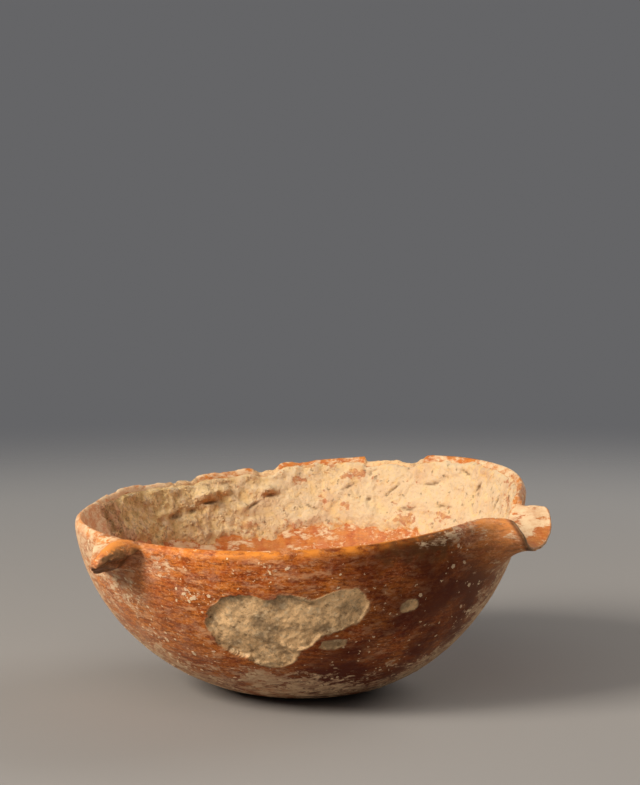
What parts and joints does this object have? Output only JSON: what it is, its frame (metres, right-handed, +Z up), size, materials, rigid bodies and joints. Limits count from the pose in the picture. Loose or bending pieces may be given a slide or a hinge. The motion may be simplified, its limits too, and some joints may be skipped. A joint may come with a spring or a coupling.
{
  "type": "lugged pottery bowl",
  "caption": "Hand-built round-based pottery bowl with an open trough lug for pouring, a drooping tongue lug, red burnished slip and a lime crust inside.",
  "frame": {"origin": "centre of the flat spot under the base, on the surface the bowl stands on", "axes": "+Z up, -Y towards the flaked front of the picture, +X towards the pouring lug's side"},
  "size_m": [0.1555, 0.1506, 0.0717],
  "materials": {
    "red_slip": "burnished red slip on fired clay",
    "orange_slip": "worn orange slip on fired clay",
    "lime_crust": "dry lime crust"
  },
  "bodies": {
    "root": {"base_pad": "red_slip", "lower_wall_strip": "red_slip", "middle_wall_strip": "red_slip", "upper_wall_strip": "red_slip", "rim_strip": "orange_slip", "pouring_lug": "orange_slip", "tongue_lug": "orange_slip", "inner_crust": "lime_crust"}
  },
  "joints": []
}
